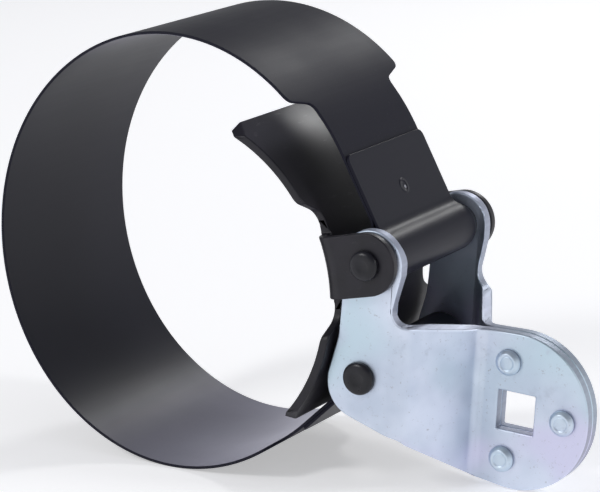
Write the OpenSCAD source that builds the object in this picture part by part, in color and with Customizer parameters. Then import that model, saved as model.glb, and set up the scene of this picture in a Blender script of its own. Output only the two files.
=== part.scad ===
// Band oil filter wrench: a spring steel strap loops round the filter, its two ends turn on
// pins between a pair of cranked lever plates, and a curved cradle bears on the filter.
// Origin: centre of the band. +X towards the lever, +Y along the filter's axis, +Z up.

/* [Strap] */
// Half of the band's outside width, measured along X
band_half_x = 65.7; // [60:0.1:80]
// Half of the band's outside height, measured along Z
band_half_z = 71.7; // [64:0.1:88]
// Width of the strap along the filter's axis
band_width = 72.8; // [66:0.1:88]
// Thickness of the strap
strap_t = 1.0; // [0.6:0.05:1.4]
// Gap between an edge of the strap's narrow tongues and the lever plate beside it
tongue_gap = 3.3; // [2:0.1:8]
// Distance from the upper pin to where the strap has its full width
upper_tongue_len = 55.7; // [46:0.1:67]
// Distance from the lower pin to where the strap has its full width
lower_tongue_len = 42.9; // [40:0.1:52]
// Radius of the rounded shoulders of the strap
shoulder_r = 3.0; // [1:0.1:4]
// Inner radius of the loops that the strap ends form round the sleeves
loop_r = 7.0; // [6:0.1:7.8]
// Length of strap folded back from a pin and welded down
flap_len = 33.5; // [24:0.1:36]
// Radius of the bend where a loop meets its tongue
loop_blend_r = 5; // [3:0.1:7]

/* [Lever] */
// Distance of the square drive's centre outside the band's side
drive_out = 41.4; // [38:0.1:60]
// Z of the square drive's centre
drive_z = -45.9; // [-48:0.1:-44]
// Side of the square drive hole
drive_side = 12.9; // [9.8:0.1:15]
// Slope of the lever below the horizontal, in degrees
lever_slope = 3.48; // [2:0.01:5]
// Thickness of each lever plate
plate_t = 3.7; // [3:0.1:4]
// Radius of the lever's rounded outer end
grip_r = 25; // [24:0.1:27]
// Clear space between the two plates at the pins
jaw_gap = 57.2; // [54:0.1:60]
// Bend radius on the inside of the plates' bends
plate_bend_r = 8; // [5:0.1:9]

/* [Pins] */
// Distance outside the band's side of the upper pin, on which strap, lever and cradle turn
upper_pin_out = 4.7; // [3.3:0.1:6.3]
// Z of the upper pin
upper_pin_z = 4.6; // [3.6:0.1:6]
// Distance outside the band's side of the lower pin, which pulls the lower strap end
lower_pin_out = 0.9; // [-0.7:0.1:2.3]
// Z of the lower pin
lower_pin_z = -33.0; // [-35:0.1:-32]
// Radius of both pins
pin_r = 3.5; // [3:0.1:4.2]
// Radius of the upper pin's peened heads
upper_head_r = 4.8; // [4.4:0.1:6]
// Radius of the lower pin's peened heads
lower_head_r = 5.3; // [4.6:0.1:6.5]
// Height of the pin heads
pin_head_h = 2.3; // [1.5:0.1:3]
// Radius of the washers between the plates and the cradle's ears
washer_r = 6.5; // [5.5:0.1:8]

/* [Cradle] */
// Thickness of the cradle's sheet
cradle_t = 2.7; // [2:0.1:3]
// Width of the cradle's wings
cradle_width = 72; // [68:0.1:74]
// Distance from the upper pin back to the middle of the face that bears on the filter
cradle_reach = 16.6; // [16:0.1:18]
// Radius of the face that bears on the filter
cradle_curve_r = 56.2; // [52:0.1:60]
// Angle round the bearing face from its middle to a wing's tip, in degrees
wing_angle = 55.5; // [50:0.5:57]
// Half of the height of the ears, and their end radius
ear_r = 10; // [9:0.1:10.5]
// Inside radius of the fold between an ear and the bearing face
fold_r = 4; // [2:0.1:5]
// Tilt of the cradle, in degrees
cradle_tilt = 12; // [11:0.1:13]
// Gap between a washer and the ear beside it, and between an ear and the pin's head
side_gap = 0.15; // [0.1:0.05:0.3]
// Thickness of the washers
washer_t = 0.9; // [0.6:0.1:1.5]

/* [Rivets] */
// Radius of the circle on which the grip's rivets stand
rivet_circle_r = 16.4; // [15:0.1:18]
// Radius of a rivet's shank
rivet_r = 3.0; // [2:0.1:3.5]
// Radius of a rivet's heads
rivet_head_r = 4.25; // [3.8:0.05:4.8]
// Height of a rivet's heads
rivet_head_h = 2.2; // [1.5:0.1:3]

/* [Hidden] */

// Fits
fixed_fit = 0.03;      // radial gap between pieces riveted together
turning_fit = 0.08;    // radial gap of a pin or sleeve that something turns on
open_pivot_gap = 0.5;  // radial play of the lower strap loop on its sleeve
flex_gap = 0.3;        // gap between the strap's sections at the places where it flexes

// Facets of the curves
$fn = 96;
arc_step = 4;          // degrees between the points of a computed arc
eps = 0.01;

// Colours
zinc = [0.80, 0.81, 0.87];
blued = [0.20, 0.20, 0.25];
blackened = [0.12, 0.12, 0.14];

upper_pin_at = [band_half_x + upper_pin_out, upper_pin_z];
lower_pin_at = [band_half_x + lower_pin_out, lower_pin_z];
drive_at = [band_half_x + drive_out, drive_z];

plate_in = jaw_gap / 2;              // inner face of a plate at the pins
plate_out = plate_in + plate_t;
tongue_width = jaw_gap - 2 * tongue_gap;
washer_out = plate_out + washer_t;
ear_in = washer_out + side_gap;
ear_out = ear_in + cradle_t;
upper_head_at = ear_out + side_gap;

// ---------- plane geometry ----------

function unit(v) = v / norm(v);
function left_of(v) = [-v.y, v.x];
function turned(p, angle) = [p.x * cos(angle) - p.y * sin(angle), p.x * sin(angle) + p.y * cos(angle)];
function xy(p) = [p.x, p.y];
function wrapped(angle) = angle > 180 ? angle - 360 : angle < -180 ? angle + 360 : angle;
function reversed(list) = [for (i = [len(list) - 1 : -1 : 0]) list[i]];

// Points along an arc, both ends included
function arc(centre, r, from, sweep) =
    let (steps = max(2, ceil(abs(sweep) / arc_step)))
    [for (i = [0 : steps]) centre + r * [cos(from + sweep * i / steps), sin(from + sweep * i / steps)]];

// The corner at b of the path a, b, c, rounded with radius r
function rounded_corner(a, b, c, r) =
    let (back = unit(a - b),
         on = unit(c - b),
         half = acos(max(-1, min(1, back * on))) / 2)
    (r <= 0 || half > 89.5) ? [b] :
    let (centre = b + unit(back + on) * r / sin(half),
         start = b + back * r / tan(half) - centre,
         end = b + on * r / tan(half) - centre,
         from = atan2(start.y, start.x))
    arc(centre, r, from, wrapped(atan2(end.y, end.x) - from));

// A closed outline whose corners [x, y, r] are rounded
function rounded_outline(corners) =
    let (n = len(corners))
    [for (i = [0 : n - 1])
        each rounded_corner(xy(corners[(i + n - 1) % n]), xy(corners[i]), xy(corners[(i + 1) % n]), corners[i][2])];

// An open path whose inner corners are rounded; grow(sign of the turn) is added to each radius
function rounded_path(corners, add_left, add_right) =
    let (n = len(corners))
    [xy(corners[0]),
     for (i = [1 : n - 2])
        let (a = xy(corners[i - 1]), b = xy(corners[i]), c = xy(corners[i + 1]),
             add = cross(b - a, c - b) > 0 ? add_left : add_right)
        each rounded_corner(a, b, c, corners[i][2] + add),
     xy(corners[n - 1])];

// The same corners moved to the left of the path by t
function moved_left(corners, t) =
    let (n = len(corners))
    [for (i = [0 : n - 1])
        let (before = unit(xy(corners[max(i, 1)]) - xy(corners[max(i, 1) - 1])),
             after = unit(xy(corners[min(i, n - 2) + 1]) - xy(corners[min(i, n - 2)])),
             n1 = left_of(before), n2 = left_of(after),
             p = xy(corners[i]) + t * (n1 + n2) / (1 + n1 * n2))
        [p.x, p.y, corners[i][2]]];

// Section of a sheet of thickness t on the left of a path; each corner's r is its inside bend radius
function sheet_section(corners, t) =
    concat(rounded_path(corners, t, 0), reversed(rounded_path(moved_left(corners, t), 0, t)));

// Stands a profile drawn in X and Z upright, as deep as width and centred on Y = 0
module upright(width) rotate([90, 0, 0]) linear_extrude(width, center = true) children();

// Places what is drawn in the lever's own axes, with its origin at the square drive
module on_lever() translate([drive_at.x, 0, drive_at.y]) rotate([0, lever_slope, 0]) children();

// Where a point of the XZ plane lies in the lever's own axes
function lever_coords(p) = turned(p - drive_at, lever_slope);

// ---------- strap ----------

// A point of the band's outer face, at an angle of the ellipse, moved out by out
function band_point(angle, out) =
    [band_half_x * cos(angle), band_half_z * sin(angle)]
    + out * unit([band_half_z * cos(angle), band_half_x * sin(angle)]);

// Section of the band between two angles
function band_section(from, to) =
    let (steps = ceil(abs(to - from) / arc_step), step = (to - from) / steps)
    concat([for (i = [0 : steps]) band_point(from + i * step, 0)],
           [for (i = [steps : -1 : 0]) band_point(from + i * step, -strap_t)]);

// Angle below the X axis of the normal of the straight tongue that is tangent to the band
// and whose outer face passes proud beyond the pin
function tongue_normal(pin, proud, low = 15, high = 85, rounds = 30) =
    let (mid = (low + high) / 2,
         reach = pin.x * cos(mid) - pin.y * sin(mid) + proud,
         tangent = norm([band_half_x * cos(mid), band_half_z * sin(mid)]))
    rounds == 0 ? mid :
    reach > tangent ? tongue_normal(pin, proud, mid, high, rounds - 1)
                    : tongue_normal(pin, proud, low, mid, rounds - 1);

// Loop and tongue in the pin's own axes: X back along the tongue, Y outwards
module loop_section(tangent_x, proud) {
    outer_r = loop_r + strap_t;
    flap_face = proud + strap_t;
    inner_face = proud - strap_t;
    blend_out = [sqrt(pow(outer_r + loop_blend_r, 2) - pow(flap_face + loop_blend_r, 2)), flap_face + loop_blend_r];
    blend_in = [sqrt(pow(outer_r + loop_blend_r, 2) - pow(inner_face - loop_blend_r, 2)), inner_face - loop_blend_r];
    out_angle = atan2(blend_out.y, blend_out.x);
    in_angle = atan2(blend_in.y, blend_in.x);
    difference() {
        polygon(concat(
            [[flap_len, proud], [flap_len, flap_face]],
            arc(blend_out, loop_blend_r, 270, out_angle - 90),
            arc([0, 0], outer_r, out_angle, 360 + in_angle - out_angle),
            arc(blend_in, loop_blend_r, 180 + in_angle, -90 - in_angle),
            [[tangent_x + eps, inner_face], [tangent_x + eps, proud]]));
        circle(loop_r);
    }
}

// Plan of a strap end: the full width, its rounded shoulders and the tongue
module strap_end_plan(tongue_len) {
    far = 2 * (band_half_x + band_half_z);
    half = band_width / 2;
    tongue = tongue_width / 2;
    polygon(rounded_outline([
        [-far, -tongue, 0], [tongue_len - shoulder_r, -tongue, shoulder_r], [tongue_len, -half, shoulder_r],
        [far, -half, 0], [far, half, 0],
        [tongue_len, half, shoulder_r], [tongue_len - shoulder_r, tongue, shoulder_r], [-far, tongue, 0]]));
}

// The lower right quarter of the strap, from below the centre to its loop round the pin
module strap_end(pin, proud, tongue_len) {
    normal = tongue_normal(pin, proud);
    tangent_angle = atan2(band_half_z * sin(normal), band_half_x * cos(normal));
    tangent_at = band_point(-tangent_angle, 0);
    along = 270 - normal;
    tangent_x = (tangent_at - pin) * [cos(along), sin(along)];
    gap_angle = flex_gap / 2 / band_half_x * 180 / PI;
    intersection() {
        upright(band_width) {
            polygon(band_section(-90 + gap_angle, -tangent_angle));
            translate(pin) rotate(along) loop_section(tangent_x, proud);
        }
        translate([pin.x, 0, pin.y])
            rotate([0, -along, 0])
                linear_extrude(4 * band_half_z, center = true) strap_end_plan(tongue_len);
    }
}

upper_proud = 2.6;   // tongue's outer face beyond the upper pin's axis
lower_proud = -0.8;  // and beyond the lower pin's axis

module strap_back() {
    gap_angle = flex_gap / 2 / band_half_x * 180 / PI;
    color(blued) upright(band_width) polygon(band_section(90 + gap_angle, 270 - gap_angle));
}

module strap_upper() {
    color(blued) mirror([0, 0, 1]) strap_end([upper_pin_at.x, -upper_pin_at.y], upper_proud, upper_tongue_len);
}

module strap_lower() {
    color(blued) strap_end(lower_pin_at, lower_proud, lower_tongue_len);
}

// ---------- cradle ----------

// Places what is drawn in the cradle's own axes: origin at the upper pin, X away from the filter
module on_cradle() translate([upper_pin_at.x, 0, upper_pin_at.y]) rotate([0, -cradle_tilt, 0]) children();

cradle_axis = -cradle_reach - cradle_curve_r;  // the filter's axis in the cradle's own axes
waist_gap = 0.3;      // room beside the lever plates, where the web is narrow
waist_to = 17.2;      // height at which the web widens into the wings
waist_r = 5;          // radius of the corner there
shoulder_rise = 4.4;  // how much higher the wing's own corner is
wing_corner_r = 3;
tip_chamfer = 3;
seam_step = 0.02;     // how far the folded ears lie within the web's faces
seam_lap = 1.5;       // how far they reach into the web

// Turns a profile drawn with X as the radius and Y along the filter round the filter's axis
module round_filter()
    translate([cradle_axis, 0, 0]) rotate([90, 0, 0]) rotate_extrude() children();

// A side profile, limited to the angle between the wings' tips
module between_tips() {
    far = 2 * cradle_curve_r;
    translate([cradle_axis, 0]) polygon([[0, 0], far * [cos(wing_angle), -sin(wing_angle)],
                                         [far, 0], far * [cos(wing_angle), sin(wing_angle)]]);
}

// A quarter's corners [x, y, r] with the signs of X and Y changed
function flipped(corners, sx, sy) = [for (c = corners) [c.x * sx, c.y * sy, c[2]]];

// Outline of the web and wings seen from the lever: X along the filter's axis, Y up the cradle
module cradle_plan() {
    half = cradle_width / 2;
    tip = cradle_curve_r * sin(wing_angle);
    cut_rise = tip_chamfer * cos(wing_angle);
    quarter = [
        [plate_in - waist_gap, waist_to, waist_r],
        [half, waist_to + shoulder_rise, wing_corner_r],
        [half, tip - cut_rise, 1],
        [half - 4 * tip_chamfer, tip + 3 * cut_rise, 0]];
    polygon(rounded_outline(concat(
        quarter, reversed(flipped(quarter, -1, 1)), flipped(quarter, -1, -1), reversed(flipped(quarter, 1, -1)))));
}

// Section of an ear and its fold, down to where it runs into the web
module ear_section() {
    polygon(sheet_section([
        [cradle_curve_r + cradle_reach + 2 * ear_r, ear_out, 0],
        [cradle_curve_r + seam_step, ear_out, fold_r],
        [cradle_curve_r + seam_step, plate_in - waist_gap - seam_lap, 0]], cradle_t - 2 * seam_step));
}

module cradle() {
    color(blackened) on_cradle() {
        intersection() {
            round_filter() translate([cradle_curve_r, -cradle_width / 2]) square([cradle_t, cradle_width]);
            upright(2 * cradle_width) between_tips();
            rotate([90, 0, 90]) linear_extrude(4 * cradle_curve_r, center = true) cradle_plan();
        }
        difference() {
            intersection() {
                round_filter() for (side = [0, 1]) mirror([0, side]) ear_section();
                upright(4 * ear_out) union() {
                    circle(ear_r);
                    translate([-2 * cradle_reach, -ear_r]) square([2 * cradle_reach, 2 * ear_r]);
                }
            }
            upright(4 * ear_out) circle(pin_r + turning_fit);
        }
    }
}

// ---------- lever ----------

crank_from = -13.5;      // outer face's bend beside the grip, from the square drive
crank_to = -27.5;        // outer face's bend beside the ears
grip_rise = 1.8;         // how far the grip's upper corner stands above its radius
grip_drop = 3.9;         // how far its lower corner stands below its radius
heel_rise = 0.9;         // rise of the lower edge's corner below the grip's end of the crank
heel_drop = 7.4;         // how far the corner below the ears' end of the crank is below the lobe
heel_r = 5;              // radius of those two corners
lobe_reach = 11.5;       // how far the plate reaches beyond the lower pin
lobe_drop = 11;          // how far it reaches below it
lobe_corner_r = 11.5;
lobe_side = 0.5;         // where the lobe's left side ends, below the lower pin
neck_r = 20;             // radius of the soft corners between the two pins
neck_from = 12.5;        // neck's lowest corner, above the lower pin
neck_in = 0.5;           // how far that corner stands back from the ear's edge
neck_mid = 14;           // its middle corner, below the upper pin
neck_to = 4;             // its highest corner, below the upper pin
neck_hollow = 0.9;       // how far the middle corner stands back
ear_end_r = 10.35;       // radius of the lever's ear round the upper pin
ear_side = 3;            // where the ear's right edge turns in, below the upper pin
ear_side_r = 4;
ear_foot = [7.3, -18.8]; // inner corner at the ear's foot, from the upper pin
ear_foot_r = 5.5;
step_in = 2.5;           // corner where the upper edge starts, from the crank's bend
step_drop = 19.9;        // and below the upper pin
step_r = 6;
brow_in = 2;             // corner where the upper edge meets the grip, from the crank's bend
brow_rise = 0.2;
brow_r = 14;

// Outline of both plates seen along the filter's axis, in the lever's axes
module lever_outline() {
    ear = lever_coords(upper_pin_at);
    lobe = lever_coords(lower_pin_at);
    polygon(rounded_outline([
        [grip_r, grip_r + grip_rise, grip_r],
        [grip_r, -grip_r - grip_drop, grip_r],
        [crank_from, -grip_r + heel_rise, heel_r],
        [crank_to, lobe.y - lobe_drop - heel_drop, heel_r],
        [lobe.x - lobe_reach, lobe.y - lobe_drop, lobe_corner_r],
        [lobe.x - lobe_reach, lobe.y - lobe_side, lobe_corner_r / 2],
        [ear.x - ear_end_r + neck_in, lobe.y + neck_from, neck_r],
        [ear.x - ear_end_r + neck_hollow, ear.y - neck_mid, neck_r],
        [ear.x - ear_end_r, ear.y - neck_to, neck_r],
        [ear.x - ear_end_r, ear.y + ear_end_r, ear_end_r],
        [ear.x + ear_end_r, ear.y + ear_end_r, ear_end_r],
        [ear.x + ear_end_r, ear.y - ear_side, ear_side_r],
        [ear.x + ear_foot.x, ear.y + ear_foot.y, ear_foot_r],
        [crank_to + step_in, ear.y - step_drop, step_r],
        [crank_from - brow_in, grip_r + brow_rise, brow_r]]));
}

// Section of one plate: the grip against the other plate, the slanted crank, the ear
module crank_section() {
    ear = lever_coords(upper_pin_at);
    polygon(sheet_section([
        [ear.x - 3 * ear_end_r, plate_out, 0],
        [crank_to, plate_out, plate_bend_r],
        [crank_from, plate_t, plate_bend_r],
        [2 * grip_r, plate_t, 0]], -plate_t));
}

// One plate; side is -1 for the front one and 1 for the rear one
module lever_plate(side) {
    color(zinc) difference() {
        on_lever()
            intersection() {
                upright(2 * plate_out + 2) lever_outline();
                scale([1, side, 1]) linear_extrude(8 * grip_r, center = true) crank_section();
            }
        on_lever() {
            cube([drive_side, 4 * plate_t, drive_side], center = true);
            for (spot = rivet_spots)
                translate([spot.x, 0, spot.y]) upright(4 * plate_t) circle(rivet_r + fixed_fit);
        }
        for (pin = [upper_pin_at, lower_pin_at])
            translate([pin.x, 0, pin.y]) upright(2 * plate_out + 2) circle(pin_r + fixed_fit);
    }
}

module lever_plate_front() lever_plate(-1);
module lever_plate_rear() lever_plate(1);

// ---------- pins, sleeves, washers, rivets ----------

drum_part = 0.45;  // part of a head's height below its chamfer
flat_part = 0.72;  // radius of a head's flat top over the head's radius

// A head on a pin or rivet: a short cylinder, a chamfer, and a flat face
module head_section(r, h) {
    polygon([[0, 0], [r, 0], [r, h * drum_part], [r * flat_part, h], [0, h]]);
}

// A shank with a head at each end; heads start at half_len
module headed_pin(at, shank_r, head_r, head_h, half_len) {
    translate([at.x, 0, at.y]) {
        upright(2 * half_len) circle(shank_r);
        for (side = [-1, 1])
            rotate([-90 * side, 0, 0])
                translate([0, 0, half_len]) rotate_extrude() head_section(head_r, head_h);
    }
}

module tube(at, outer_r, inner_r, from, to) {
    translate([at.x, (from + to) / 2, at.y])
        upright(to - from) difference() {
            circle(outer_r);
            circle(inner_r);
        }
}

module upper_pin() color(blackened) headed_pin(upper_pin_at, pin_r, upper_head_r, pin_head_h, upper_head_at);
module lower_pin() color(blackened) headed_pin(lower_pin_at, pin_r, lower_head_r, pin_head_h, plate_out);

module upper_sleeve()
    color(blackened) tube(upper_pin_at, loop_r - turning_fit, pin_r + fixed_fit, -plate_in, plate_in);
module lower_sleeve()
    color(blackened) tube(lower_pin_at, loop_r - open_pivot_gap, pin_r + fixed_fit, -plate_in, plate_in);

module cradle_washer_front()
    color(blackened) tube(upper_pin_at, washer_r, pin_r + fixed_fit, -washer_out, -plate_out);
module cradle_washer_rear()
    color(blackened) tube(upper_pin_at, washer_r, pin_r + fixed_fit, plate_out, washer_out);

// Rivet places from the square drive, in the lever's axes: top, bottom and end
rivet_angles = [102, 258, 0];
rivet_spots = [for (angle = rivet_angles) rivet_circle_r * [cos(angle), sin(angle)]];

module handle_rivet(spot) {
    color(zinc) on_lever() headed_pin(spot, rivet_r, rivet_head_r, rivet_head_h, plate_t);
}

module handle_rivet_top() handle_rivet(rivet_spots[0]);
module handle_rivet_bottom() handle_rivet(rivet_spots[1]);
module handle_rivet_end() handle_rivet(rivet_spots[2]);

strap_back();
strap_upper();
strap_lower();
cradle();
lever_plate_front();
lever_plate_rear();
upper_pin();
lower_pin();
upper_sleeve();
lower_sleeve();
cradle_washer_front();
cradle_washer_rear();
handle_rivet_top();
handle_rivet_bottom();
handle_rivet_end();
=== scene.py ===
# %% [markdown]
# # A band oil filter wrench
# A spring steel strap loops round the filter. Its two ends turn on pins between a pair of
# cranked lever plates, and a curved cradle bears on the filter. The CAD model gives every size
# and every joint. Here each piece gets the small shapes that catch the light, such as rolled
# edges, peened heads and folded ends, and a finish of its own.

# %% Load the frame
import bpy, bmesh, math
from mathutils import Vector, Matrix


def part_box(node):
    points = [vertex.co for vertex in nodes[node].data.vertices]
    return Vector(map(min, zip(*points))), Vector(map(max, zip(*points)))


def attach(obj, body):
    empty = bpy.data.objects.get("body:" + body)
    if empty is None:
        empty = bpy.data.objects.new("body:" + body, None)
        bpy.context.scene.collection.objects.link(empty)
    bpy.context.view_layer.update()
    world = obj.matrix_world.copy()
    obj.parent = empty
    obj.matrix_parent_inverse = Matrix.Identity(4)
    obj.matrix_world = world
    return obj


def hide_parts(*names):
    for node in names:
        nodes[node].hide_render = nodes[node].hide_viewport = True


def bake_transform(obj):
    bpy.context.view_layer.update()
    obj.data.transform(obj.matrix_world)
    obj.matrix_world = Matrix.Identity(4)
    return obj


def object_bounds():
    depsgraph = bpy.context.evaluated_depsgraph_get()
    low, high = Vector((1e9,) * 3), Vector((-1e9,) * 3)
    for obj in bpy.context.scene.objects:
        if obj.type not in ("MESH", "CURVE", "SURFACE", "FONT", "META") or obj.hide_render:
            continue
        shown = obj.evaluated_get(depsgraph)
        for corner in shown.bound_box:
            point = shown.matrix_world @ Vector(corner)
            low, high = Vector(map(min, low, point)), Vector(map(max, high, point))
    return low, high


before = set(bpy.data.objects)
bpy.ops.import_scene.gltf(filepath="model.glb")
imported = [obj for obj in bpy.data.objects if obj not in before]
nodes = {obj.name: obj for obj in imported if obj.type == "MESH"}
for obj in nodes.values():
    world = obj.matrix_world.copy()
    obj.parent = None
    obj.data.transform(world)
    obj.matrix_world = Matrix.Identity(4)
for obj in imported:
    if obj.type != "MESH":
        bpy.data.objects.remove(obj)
cad_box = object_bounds()
print("CAD box in mm:", [[round(1000 * v, 1) for v in corner] for corner in cad_box])

# %% [markdown]
# ## Camera
# The camera stands to the right of the wrench, a little above it, and looks along a line
# through the band. Its place comes first, because it tells which faces deserve most care.

# %% Camera
azimuth, elevation = math.radians(29.285), math.radians(13.749)
towards_camera = Vector((math.sin(azimuth) * math.cos(elevation),
                         -math.cos(azimuth) * math.cos(elevation),
                         math.sin(elevation)))
lens = bpy.data.cameras.new("camera")
lens.sensor_width = 36
lens.lens = 174.776
camera = bpy.data.objects.new("camera", lens)
camera.location = (0.478711, -0.805157, 0.223795)
camera.rotation_mode = "QUATERNION"
camera.rotation_quaternion = (-towards_camera).to_track_quat("-Z", "Y")
bpy.context.collection.objects.link(camera)
bpy.context.scene.camera = camera
print("camera", round(camera.location.length, 3), "m from the band's centre")

# %% [markdown]
# ## Floor, sky and lamps
# Zinc plate and satin steel look like whatever stands round them. A white floor and a sky that
# is white at the horizon and grey overhead give the bright plates and the dark strap. Three soft
# boxes add the long highlights along the rolled ends of the strap.

# %% Floor and sky
floor_half, floor_gap = 6, 0.0001

bm = bmesh.new()
bmesh.ops.create_grid(bm, x_segments=1, y_segments=1, size=floor_half)
bmesh.ops.translate(bm, verts=bm.verts, vec=(0, 0, cad_box[0][2] - floor_gap))
floor_mesh = bpy.data.meshes.new("floor")
bm.to_mesh(floor_mesh)
bm.free()
floor = bpy.data.objects.new("floor", floor_mesh)
bpy.context.collection.objects.link(floor)

sky = bpy.data.worlds.new("sky")
sky.use_nodes = True
bpy.context.scene.world = sky
tree = sky.node_tree
place = tree.nodes.new("ShaderNodeTexCoord")
split = tree.nodes.new("ShaderNodeSeparateXYZ")
shade = tree.nodes.new("ShaderNodeValToRGB")
horizon, overhead = shade.color_ramp.elements
horizon.position, horizon.color = 0.05, (0.97, 0.98, 1.0, 1)
overhead.position, overhead.color = 0.5, (0.22, 0.225, 0.25, 1)
tree.links.new(place.outputs["Generated"], split.inputs[0])
tree.links.new(split.outputs["Z"], shade.inputs[0])
tree.links.new(shade.outputs[0], tree.nodes["Background"].inputs["Color"])
tree.nodes["Background"].inputs["Strength"].default_value = 0.95
print("floor at", round(1000 * floor_mesh.vertices[0].co.z, 2), "mm")

# %% Lamps
def soft_box(name, place, aim, size, power):
    """A square lamp at place that shines at aim."""
    lamp = bpy.data.lights.new(name, "AREA")
    lamp.size, lamp.energy = size, power
    holder = bpy.data.objects.new(name, lamp)
    holder.location = place
    holder.rotation_mode = "QUATERNION"
    holder.rotation_quaternion = (Vector(aim) - Vector(place)).to_track_quat("-Z", "Y")
    bpy.context.collection.objects.link(holder)
    print(name, power, "W")


soft_box("key_lamp", (-0.55, -1.0, 0.8), (0.06, 0, 0), 0.3, 5)
soft_box("back_lamp", (-0.04, 1.15, 0.72), (0.07, 0, 0), 0.2, 3)
soft_box("side_lamp", (1.1, 0.3, 0.5), (0.07, 0, 0), 0.25, 3)

# %% [markdown]
# ## Shader maths as expressions
# A finish is a formula: how dark a spot is depends on noise, on its place and on which way its
# face points. `Value` wraps a socket, so that the formula can be written with + - * / and the
# Math nodes are made behind it. Every other node comes from `Finish.node`.

# %% Writing finishes
class Value:
    """A number that varies over a surface."""
    def __init__(self, finish, socket):
        self.finish, self.socket = finish, socket

    def maths(self, operation, *others):
        return self.finish.node("ShaderNodeMath", {"operation": operation}, [self, *others])

    def __add__(self, other): return self.maths("ADD", other)
    def __radd__(self, other): return self.maths("ADD", other)
    def __sub__(self, other): return self.maths("SUBTRACT", other)
    def __rsub__(self, other):
        return self.finish.node("ShaderNodeMath", {"operation": "SUBTRACT"}, [other, self])
    def __mul__(self, other): return self.maths("MULTIPLY", other)
    def __rmul__(self, other): return self.maths("MULTIPLY", other)
    def __abs__(self): return self.maths("ABSOLUTE")

    def between(self, low, high):
        """0 below low, 1 above high, and smooth between them."""
        return self.finish.node("ShaderNodeMapRange", {"interpolation_type": "SMOOTHSTEP"},
                                [self, low, high, 0.0, 1.0])


class Finish:
    """A material, with its surface shader and the place on the piece.

    A piece that bends keeps its unbent places in an attribute, so that marks stay put."""
    def __init__(self, name, attribute=None, **constants):
        self.material = bpy.data.materials.new(name)
        self.material.use_nodes = True
        self.tree = self.material.node_tree
        self.shader = self.tree.nodes["Principled BSDF"]
        for socket, value in constants.items():
            self.shader.inputs[socket.replace("_", " ")].default_value = value
        if attribute:
            self.place = self.node("ShaderNodeAttribute", {"attribute_name": attribute},
                                   output="Vector")
        else:
            self.place = self.node("ShaderNodeTexCoord", output="Object")

    def node(self, kind, settings={}, inputs=(), output=0):
        made = self.tree.nodes.new(kind)
        for key, value in settings.items():
            setattr(made, key, value)
        pairs = inputs.items() if isinstance(inputs, dict) else enumerate(inputs)
        for key, value in pairs:
            if isinstance(value, Value):
                self.tree.links.new(value.socket, made.inputs[key])
            else:
                made.inputs[key].default_value = value
        return Value(self, made.outputs[output])

    def noise(self, scale, detail=3.0, roughness=0.55, stretch=(1, 1, 1), seed=0.0):
        """Noise with scale features to the metre; stretch changes it along X, Y and Z."""
        at = self.node("ShaderNodeMapping", {},
                       {"Vector": self.place, "Scale": stretch, "Location": (seed, seed, seed)})
        return self.node("ShaderNodeTexNoise", {},
                         {"Vector": at, "Scale": scale, "Detail": detail, "Roughness": roughness})

    def mix(self, factor, a, b):
        """Colour a where factor is 0 and b where it is 1."""
        colour = lambda c: c if isinstance(c, Value) else (*c, 1)
        return self.node("ShaderNodeMix", {"data_type": "RGBA"},
                         {0: factor, 6: colour(a), 7: colour(b)}, output=2)

    def axis(self, name, of=None):
        """One coordinate of the place, or of another vector."""
        return self.node("ShaderNodeSeparateXYZ", {}, [of or self.place], output=name)

    def facing(self, name):
        """How much the face points along an axis, from -1 to 1."""
        return self.axis(name, self.node("ShaderNodeTexCoord", output="Normal"))

    def near(self, spot):
        """Distance in metres from a spot on the piece."""
        return self.node("ShaderNodeVectorMath", {"operation": "DISTANCE"}, [self.place, spot],
                         output="Value")

    def bump(self, height, distance, strength, under=None):
        """A normal for a relief distance metres high, over the normal under it."""
        inputs = {"Height": height, "Distance": distance, "Strength": strength}
        if under:
            inputs["Normal"] = under
        return self.node("ShaderNodeBump", {}, inputs)

    def wear(self, **sockets):
        """Links what varies to the surface shader."""
        for name, value in sockets.items():
            self.tree.links.new(value.socket, self.shader.inputs[name.replace("_", " ")])
        return self.material


print("shader maths ready")

# %% [markdown]
# ## Blued strap steel
# The strap is thin spring steel with a satin blue-black coat. Rolling leaves fine lines along
# it, and handling leaves soft cloudy patches. The inner face is paler and metallic away from the
# far side of the band, short of the tongues: partly bare steel, partly a painted reflection. The
# folded flap shows that face too, with the dimple of its spot weld and a painted highlight beside it.

# %% Strap finish
spot_weld, weld_glint = (0.0651, 0, 0.0224), (0.0653, 0.0004, 0.0219)


def strap_finish():
    f = Finish("strap_steel", attribute="unbent_place", Specular_IOR_Level=0.14)
    cloud = f.noise(45, 4)
    lines = f.noise(900, 2, stretch=(1, 0.03, 1))
    specks = f.noise(1500, 2).between(0.62, 0.75)
    colour = f.mix(cloud, (0.0085, 0.0085, 0.0165), (0.0135, 0.0135, 0.0245))
    colour = f.mix(specks * 0.35, colour, (0.04, 0.04, 0.05))
    return f.wear(Base_Color=colour, Roughness=0.42 + cloud * 0.14 + lines * 0.05,
                  Normal=f.bump(lines * 0.4 + cloud * 0.6, 0.00003, 0.5))


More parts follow.
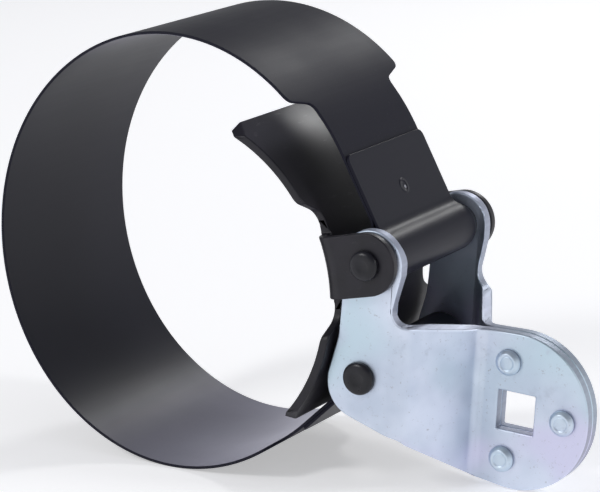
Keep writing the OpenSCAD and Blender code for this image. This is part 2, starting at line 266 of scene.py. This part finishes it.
def strap_inner_finish():
    f = Finish("strap_steel_inner", attribute="unbent_place", Specular_IOR_Level=0.16)
    cloud = f.noise(30, 4, seed=0.3)
    lines = f.noise(700, 2, stretch=(1, 0.03, 1))
    # Painted reflection: the inner face turns pale lavender away from the far side of the band, short of
    # the tongues; the same mask makes it metallic, as bare steel.
    bare_and_reflection_spread = (f.axis("X") * 0.8 + abs(f.axis("Z")) * 0.6).between(0.0, 0.08)
    bare_steel_and_painted_reflection = bare_and_reflection_spread * (1 - f.axis("X").between(0.034, 0.042))
    colour = f.mix(bare_steel_and_painted_reflection, (0.010, 0.010, 0.018), (0.78, 0.77, 0.92))
    colour = f.mix(cloud * 0.3, colour, (0.03, 0.031, 0.042))
    weld = f.near(spot_weld)
    pit = 1 - weld.between(0.0007, 0.0018)
    rim = weld.between(0.0013, 0.0019) * (1 - weld.between(0.0019, 0.0028))
    # Painted highlight: a small pale spot beside the weld dimple.
    glint = 1 - f.near(weld_glint).between(0.0003, 0.0008)
    colour = f.mix(glint * 0.8, colour, (0.45, 0.45, 0.5))
    grain = f.bump(lines * 0.5 + cloud * 0.5, 0.00003, 0.5)
    return f.wear(Base_Color=colour, Metallic=bare_steel_and_painted_reflection * 0.85, Roughness=0.34 + cloud * 0.1 + lines * 0.04,
                  Normal=f.bump(rim - pit, 0.0004, 0.9, grain))


strap_steel, strap_inner = strap_finish(), strap_inner_finish()
print("finishes:", strap_steel.name, strap_inner.name)

# %% [markdown]
# ## Zinc plate
# The lever plates are pressed from steel and plated with bright zinc. Plating is never one
# colour: it drifts from pale blue to lilac in patches, with small dull specks and fine rub marks.
# The sheared edges are rougher, with marks that run through the thickness.

# %% Zinc finish
def zinc_finish(name, seed):
    f = Finish(name)
    patches = f.noise(38, 3, 0.6, seed=seed)
    drift = f.noise(16, 2, seed=seed + 4)
    specks = f.noise(700, 4, 0.75).between(0.60, 0.72)
    blots = f.noise(95, 4, 0.7, seed=seed + 2).between(0.56, 0.74)
    rubs = f.noise(160, 4, 0.7, stretch=(0.25, 1, 2.2), seed=seed)
    sheared = 1 - abs(f.facing("Y")).between(0.15, 0.45)
    tears = f.noise(750, 2, stretch=(1, 0.08, 1))
    colour = f.mix(patches.between(0.35, 0.65), (0.70, 0.76, 0.88), (0.56, 0.63, 0.75))
    colour = f.mix(drift.between(0.42, 0.62), colour, (0.58, 0.71, 0.80))
    colour = f.mix(f.noise(22, 2, seed=seed + 9).between(0.5, 0.66), colour, (0.68, 0.68, 0.86))
    colour = f.mix(blots * 0.5, colour, (0.46, 0.52, 0.62))
    colour = f.mix(specks * 0.6, colour, (0.30, 0.30, 0.34))
    colour = f.mix(sheared * (0.45 + tears * 0.4), colour, (0.27, 0.28, 0.35))
    height = rubs * 0.6 + specks * -0.8 + sheared * tears * 2.5
    return f.wear(Base_Color=colour, Metallic=0.9 - specks * 0.4,
                  Roughness=0.34 + patches * 0.12 + rubs * 0.06 + sheared * 0.1,
                  Normal=f.bump(height, 0.00006, 0.55))


zinc, zinc_rivet = zinc_finish("zinc_plate", 0.0), zinc_finish("zinc_rivet", 7.0)
print("finishes:", zinc.name, zinc_rivet.name)

# %% [markdown]
# ## Blackened steel
# The cradle and the pins are black. A chemical black is thin and slightly uneven: a fine grain,
# faint cloudy patches, and a little brown where it is dry.

# %% Black finishes
def black_finish(name, pale, dark, grain_scale, roughness, seed):
    f = Finish(name, Specular_IOR_Level=0.36)
    cloud = f.noise(70, 4, 0.6, seed=seed)
    grain = f.noise(grain_scale, 3, 0.65, seed=seed)
    scuffs = f.noise(300, 4, 0.75, stretch=(1, 0.3, 1.6), seed=seed).between(0.6, 0.72)
    colour = f.mix(cloud.between(0.35, 0.7), dark, pale)
    colour = f.mix(scuffs * 0.3, colour, (0.055, 0.053, 0.06))
    return f.wear(Base_Color=colour, Roughness=roughness + cloud * 0.14 - scuffs * 0.08,
                  Normal=f.bump(grain * 0.8 + scuffs * 0.4, 0.00005, 0.6))


cradle_black = black_finish("cradle_steel", (0.016, 0.0145, 0.021), (0.0095, 0.009, 0.013),
                            1300, 0.36, 1.0)
pin_black = black_finish("black_oxide", (0.014, 0.014, 0.020), (0.007, 0.007, 0.010),
                         1700, 0.24, 3.0)
print("finishes:", cradle_black.name, pin_black.name)

# %% [markdown]
# ## Putting a mesh in the scene
# A finished piece sits at the origin, with its place in its mesh, and moves with a body of the
# frame when it is given one. Faces are smooth, edges sharper than 35 degrees stay sharp, and a
# Weighted Normal modifier keeps the large faces flat beside small rounded edges.

# %% Piece helpers
sharp_angle = math.radians(35)
mm = 0.001


def smooth(mesh):
    """Smooth faces, with the sharp edges kept."""
    mesh.shade_smooth()
    mesh.set_sharp_from_angle(angle=sharp_angle)


def as_piece(bm, name, materials, replaces, body=None):
    """Makes an object of bm, in mm, that stands for the CAD nodes replaces and moves with body."""
    bmesh.ops.scale(bm, vec=(mm,) * 3, verts=bm.verts)
    mesh = bpy.data.meshes.new(name)
    bm.to_mesh(mesh)
    bm.free()
    for material in materials:
        mesh.materials.append(material)
    smooth(mesh)
    piece = bpy.data.objects.new(name, mesh)
    bpy.context.collection.objects.link(piece)
    if body:
        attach(piece, body)
    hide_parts(*replaces)
    print(name, len(mesh.polygons), "faces")
    return piece


def keep_flats(piece):
    """Turns the normals of large flat faces true."""
    flats = piece.modifiers.new("flats", "WEIGHTED_NORMAL")
    flats.keep_sharp = True
    flats.weight = 80


def soften(bm, width, angle=sharp_angle, but=lambda edge: False):
    """Rounds every edge sharper than angle, except those that but picks."""
    edges = [e for e in bm.edges
             if len(e.link_faces) == 2 and e.calc_face_angle() > angle and not but(e)]
    bmesh.ops.bevel(bm, geom=edges, offset=width, offset_type="OFFSET", segments=3,
                    profile=0.5, affect="EDGES", clamp_overlap=False, material=-1)


def merged_copy(node):
    """A CAD node's mesh in mm, its triangles joined and its flat faces whole."""
    bm = bmesh.new()
    bm.from_mesh(nodes[node].data)
    bmesh.ops.transform(bm, matrix=nodes[node].matrix_world, verts=bm.verts)
    bmesh.ops.scale(bm, vec=(1 / mm,) * 3, verts=bm.verts)
    bmesh.ops.remove_doubles(bm, verts=bm.verts, dist=0.002)
    bmesh.ops.dissolve_degenerate(bm, edges=bm.edges, dist=0.001)
    bmesh.ops.dissolve_limit(bm, angle_limit=math.radians(0.6), verts=bm.verts, edges=bm.edges)
    return bm


print("piece helpers ready")

# %% [markdown]
# ## Lever plates
# Each plate is a stamping, cut out of 3.7 mm sheet and then cranked. The punch drags the edge
# over on the outer face, so the edge there is rolled and shines. The CAD outline and bends are
# right, so a merged copy of the node is used and only its edges are rounded.

# %% Lever plates
for side in ("front", "rear"):
    node = "lever_plate_" + side
    bm = merged_copy(node)
    soften(bm, 0.55)
    plate = as_piece(bm, "pressed_plate_" + side, [zinc], [node], "lever")
    keep_flats(plate)

# %% [markdown]
# ## Cradle
# The cradle is folded from one piece of 2.7 mm sheet. Its bearing face is part of a cylinder as
# wide as the filter, and its two ears turn on the upper pin. Again the CAD shape is right, and
# the edges get the small radius that a punched and tumbled piece has.

# %% Cradle
bm = merged_copy("cradle")
soften(bm, 0.5, math.radians(40))
saddle = as_piece(bm, "curved_cradle", [cradle_black], ["cradle"], "cradle")
keep_flats(saddle)

# %% [markdown]
# ## The strap's course
# Seen from the side, the strap follows an ellipse, leaves it on a straight tongue, rolls round
# a sleeve and comes back along the tongue as a welded flap. The course is worked out once, as
# stations with a place and a half width, and it is used for both ends.

# %% Sizes of the strap, in mm, as in the CAD model
half_x, half_z, strap_t = 65.7, 71.7, 1.0
band_half, tongue_half, shoulder_r = 36.4, 25.3, 3.0
loop_r, blend_r, flap_len, flap_corner = 7.0, 5.0, 33.5, 2.5
upper_pin, lower_pin = Vector((70.4, 4.6)), Vector((66.6, -33.0))


def tongue_angle(pin, proud):
    """Angle below X of the normal of a tongue that touches the band and passes the pin."""
    low, high = 15.0, 85.0
    for _ in range(40):
        mid = (low + high) / 2
        a = math.radians(mid)
        reach = pin.x * math.cos(a) - pin.y * math.sin(a) + proud
        if reach > math.hypot(half_x * math.cos(a), half_z * math.sin(a)):
            low = mid
        else:
            high = mid
    return math.radians(mid)


def turn(start, end, step):
    """Angles from start to end in steps of about step, in radians."""
    count = max(2, round(abs(end - start) / step))
    return [start + (end - start) * i / count for i in range(count + 1)]


def shoulder(tongue_len):
    """Places along the tongue and half widths through the rounded shoulder."""
    a, b = Vector((tongue_len - shoulder_r, tongue_half)), Vector((tongue_len, band_half))
    slope = math.atan2(b.y - a.y, b.x - a.x)
    back = shoulder_r * math.tan(slope / 2)
    bend = [(shoulder_r * math.sin(t), shoulder_r * (1 - math.cos(t))) for t in turn(0, slope, 0.15)]
    return ([(a.x - back + x, a.y + y) for x, y in bend]
            + [(b.x + back - x, b.y - y) for x, y in reversed(bend)])


def strap_course(pin, proud, tongue_len):
    """Stations (x, z, half width) of the lower end: from the far side of the band to the flap's end."""
    normal = tongue_angle(pin, proud)
    touch = math.atan2(half_z * math.sin(normal), half_x * math.cos(normal))
    axes = Matrix.Rotation(math.radians(270) - normal, 2)
    place = lambda x, y: pin + axes @ Vector((x, y))
    along = lambda p: (axes.transposed() @ (p - pin)).x

    def on_band(t):
        outward = Vector((half_z * math.cos(t), half_x * math.sin(t))).normalized()
        return Vector((half_x * math.cos(t), half_z * math.sin(t))) - outward * strap_t / 2

    def at(x):
        """The point of the strap's middle that lies x along the tongue."""
        if x < touch_x:
            return place(x, proud - strap_t / 2)
        low, high = -math.pi / 2, -touch
        for _ in range(40):
            mid = (low + high) / 2
            low, high = (mid, high) if along(on_band(mid)) > x else (low, mid)
        return on_band(mid)

    touch_x = along(on_band(-touch))
    edge = shoulder(tongue_len)[::-1]
    wide_to, narrow_from = edge[0][0] + 0.3, edge[-1][0] - 0.3
    band = [on_band(t) for t in turn(-math.pi, -touch, math.radians(1.5))]
    stations = [(*p, band_half) for p in band if along(p) > wide_to or p.x < 0]
    stations += [(*at(x), w) for x, w in edge]
    stations += [(*p, tongue_half) for p in band if along(p) < narrow_from and p.x > 0]
    outer_r, mid_r, bend_r = loop_r + strap_t, loop_r + strap_t / 2, blend_r + strap_t / 2
    inner_y, flap_y = proud - strap_t - blend_r, proud + strap_t + blend_r
    inner_x = math.sqrt((outer_r + blend_r) ** 2 - inner_y ** 2)
    flap_x = math.sqrt((outer_r + blend_r) ** 2 - flap_y ** 2)
    inner_turn, flap_turn = math.atan2(inner_y, inner_x), math.atan2(flap_y, flap_x)
    local = [(x, proud - strap_t / 2, tongue_half) for x in (46, 40, 34, 28, 22, 17)
             if x < min(touch_x, narrow_from) - 1]
    local += [(inner_x + bend_r * math.cos(t), inner_y + bend_r * math.sin(t), tongue_half)
              for t in turn(math.radians(90), math.pi + inner_turn, 0.12)]
    local += [(mid_r * math.cos(t), mid_r * math.sin(t), tongue_half)
              for t in turn(inner_turn, flap_turn - 2 * math.pi, 0.1)[1:]]
    local += [(flap_x + bend_r * math.cos(t), flap_y + bend_r * math.sin(t), tongue_half)
              for t in turn(math.pi + flap_turn, math.radians(270), 0.12)[1:]]
    lift = proud + strap_t / 2 + 0.02
    local += [(x, lift, tongue_half) for x in (18, 22, 26, flap_len - flap_corner)]
    local += [(flap_len - flap_corner * (1 - math.sin(t)), lift,
               tongue_half - flap_corner * (1 - math.cos(t)))
              for t in turn(0, math.radians(80), 0.2)[1:]]
    return stations + [(*place(x, y), w) for x, y, w in local]


courses = {"upper": strap_course(Vector((upper_pin.x, -upper_pin.y)), 2.6, 55.7),
           "lower": strap_course(lower_pin, -0.8, 42.9)}
courses["upper"] = [(x, -z, w) for x, z, w in courses["upper"]]
print({end: len(course) for end, course in courses.items()})

# %% [markdown]
# ## Strap
# A cross row of vertices stands at the first station. It is extruded from station to
# station, and each new row is spread to the width that the strap has there. Solidify then gives
# the sheet its 1 mm, with the inner faces in the inner finish, and a bevel rounds the cut edges
# except where the two strips meet. The real strap bends all along when the lever pulls; these
# strips are not attached to a body.

# %% Strap
columns = 12
stands_for = {"upper": ["strap_upper", "strap_back"], "lower": ["strap_lower"]}


def at_meeting(edge):
    """True for an edge at the far side of the band, where the strips meet."""
    return all(abs(v.co.z) < 0.1 * mm and v.co.x < 0 for v in edge.verts)


def strap_strip(end):
    """One strip of the strap, from the far side of the band to the end of a flap."""
    bm = bmesh.new()
    x, z, half = courses[end][0]
    row = [bm.verts.new((x, half * (2 * i / columns - 1), z)) for i in range(columns + 1)]
    edges = [bm.edges.new(pair) for pair in zip(row, row[1:])]
    for x, z, half in courses[end][1:]:
        made = bmesh.ops.extrude_edge_only(bm, edges=edges)["geom"]
        edges = [g for g in made if isinstance(g, bmesh.types.BMEdge) and len(g.link_faces) == 1
                 and all(v in made for v in g.verts)]
        row = sorted({v for e in edges for v in e.verts}, key=lambda v: v.co.y)
        for i, v in enumerate(row):
            v.co = (x, half * (2 * i / columns - 1), z)
    bm.normal_update()
    outside = bm.faces[:][0]
    if outside.normal.dot(Vector((-1, 0, 0))) < 0:
        bmesh.ops.reverse_faces(bm, faces=bm.faces)
    strip = as_piece(bm, "strap_" + end + "_strip", [strap_steel, strap_inner],
                     stands_for[end])
    sheet = strip.modifiers.new("sheet", "SOLIDIFY")
    sheet.thickness, sheet.offset = strap_t * mm, 0
    sheet.use_even_offset = True
    sheet.material_offset = 1
    sheet.material_offset_rim = 0
    solved = strip.evaluated_get(bpy.context.evaluated_depsgraph_get())
    thick = bpy.data.meshes.new_from_object(solved)
    strip.modifiers.clear()
    bm = bmesh.new()
    bm.from_mesh(thick)
    soften(bm, strap_t / 4 * mm, math.radians(60), at_meeting)
    bm.to_mesh(strip.data)
    bm.free()
    bpy.data.meshes.remove(thick)
    smooth(strip.data)
    unbent = strip.data.attributes.new("unbent_place", "FLOAT_VECTOR", "POINT")
    for at, v in zip(unbent.data, strip.data.vertices):
        at.vector = v.co
    keep_flats(strip)
    return strip


for end in ("upper", "lower"):
    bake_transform(strap_strip(end))

# %% [markdown]
# ## Pins and rivets
# A pin is a rod whose ends are hammered over. The peened head bulges, has a rounded rim and a
# shallow ring left by the tool. The half profile is drawn as a few vertices and spun round its
# axis, which closes it without a seam.

# %% Pins and rivets
def spun(profile, steps=48):
    """Spins a profile of (radius, height) points round the vertical axis."""
    bm = bmesh.new()
    points = [bm.verts.new((r, 0, h)) for r, h in profile]
    for pair in zip(points, points[1:]):
        bm.edges.new(pair)
    bmesh.ops.spin(bm, geom=bm.verts[:] + bm.edges[:], cent=(0, 0, 0), axis=(0, 0, 1),
                   angle=2 * math.pi, steps=steps, use_merge=True)
    bmesh.ops.remove_doubles(bm, verts=bm.verts, dist=0.001)
    bmesh.ops.recalc_face_normals(bm, faces=bm.faces)
    return bm


def turned_to_y(bm, at):
    """Lays the spun piece along Y, through the point at of the XZ plane."""
    bmesh.ops.rotate(bm, verts=bm.verts, cent=(0, 0, 0), matrix=Matrix.Rotation(math.radians(90), 3, "X"))
    bmesh.ops.translate(bm, verts=bm.verts, vec=(at[0], 0, at[1]))
    return bm


def both_ends(half):
    """A profile that is the same at both ends, from the top's axis down to the bottom's."""
    return half + [(r, -h) for r, h in reversed(half)]


def peened(shank_r, head_r, head_h, from_h):
    """Profile of a pin whose heads are drums with a rolled rim and a shallow dish."""
    top = from_h + head_h
    return both_ends([(0, top - 0.35), (head_r * 0.30, top - 0.35), (head_r * 0.40, top - 0.12),
                      (head_r * 0.52, top), (head_r * 0.70, top - 0.04), (head_r * 0.86, top - 0.30),
                      (head_r * 0.96, top - 0.75), (head_r, top - 1.2), (head_r, from_h + 0.15),
                      (head_r - 0.15, from_h), (shank_r, from_h)])


def riveted(shank_r, head_r, head_h, from_h):
    """Profile of a rivet whose heads are flat on top, with a pressed ring and a wide chamfer."""
    top = from_h + head_h
    return both_ends([(0, top - 0.12), (head_r * 0.42, top - 0.12), (head_r * 0.50, top - 0.28),
                      (head_r * 0.58, top - 0.02), (head_r * 0.68, top), (head_r * 0.76, top - 0.12),
                      (head_r * 0.93, top - head_h * 0.42), (head_r * 0.99, top - head_h * 0.56),
                      (head_r, top - head_h * 0.72), (head_r, from_h + 0.1),
                      (head_r - 0.1, from_h), (shank_r, from_h)])


def middle(node):
    """Where a round node's axis crosses the XZ plane, in mm."""
    low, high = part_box(node)
    return (low[0] + high[0]) / 2 / mm, (low[2] + high[2]) / 2 / mm


def half_length(node):
    """How far a node that is centred on the XZ plane reaches along Y, in mm."""
    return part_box(node)[1][1] / mm


pin_r, pin_head_h = 3.5, 2.3
rivet_r, rivet_head_r, rivet_head_h = 3.0, 4.25, 2.2

for name, head_r in (("upper_pin", 4.8), ("lower_pin", 5.3)):
    head = peened(pin_r, head_r, pin_head_h, half_length(name) - pin_head_h)
    bm = turned_to_y(spun(head), middle(name))
    keep_flats(as_piece(bm, name + "_peened", [pin_black], [name], "lever"))

for place_name in ("top", "bottom", "end"):
    node = "handle_rivet_" + place_name
    head = riveted(rivet_r, rivet_head_r, rivet_head_h, half_length(node) - rivet_head_h)
    bm = turned_to_y(spun(head), middle(node))
    keep_flats(as_piece(bm, "grip_rivet_" + place_name, [zinc_rivet], [node], "lever"))

# %% [markdown]
# ## Sleeves and washers
# The strap's rolled ends turn on two steel sleeves, and thin washers stand between the plates
# and the cradle's ears. Their shapes are complete in the CAD model, so the nodes stay and
# take the black finish.

# %% Sleeves and washers
for name in ("upper_sleeve", "lower_sleeve", "cradle_washer_front", "cradle_washer_rear"):
    mesh = nodes[name].data
    mesh.materials.clear()
    mesh.materials.append(pin_black)
    print(name, "finished in", pin_black.name)

# %% [markdown]
# ## Floor finish
# The floor is plain and pale, with a very faint cloud so that it isn't a flat colour, and glows a
# little so that the ground round the wrench stays white.

# %% Floor finish
paint = Finish("floor_paint", Roughness=0.9, Specular_IOR_Level=0.1,
               Emission_Color=(1, 1, 1, 1), Emission_Strength=0.42)
cloudy = paint.mix(paint.noise(3), (0.93, 0.93, 0.94), (0.96, 0.96, 0.965))
floor_mesh.materials.append(paint.wear(Base_Color=cloudy))
bpy.context.scene.view_settings.view_transform = "Standard"
print("floor painted")
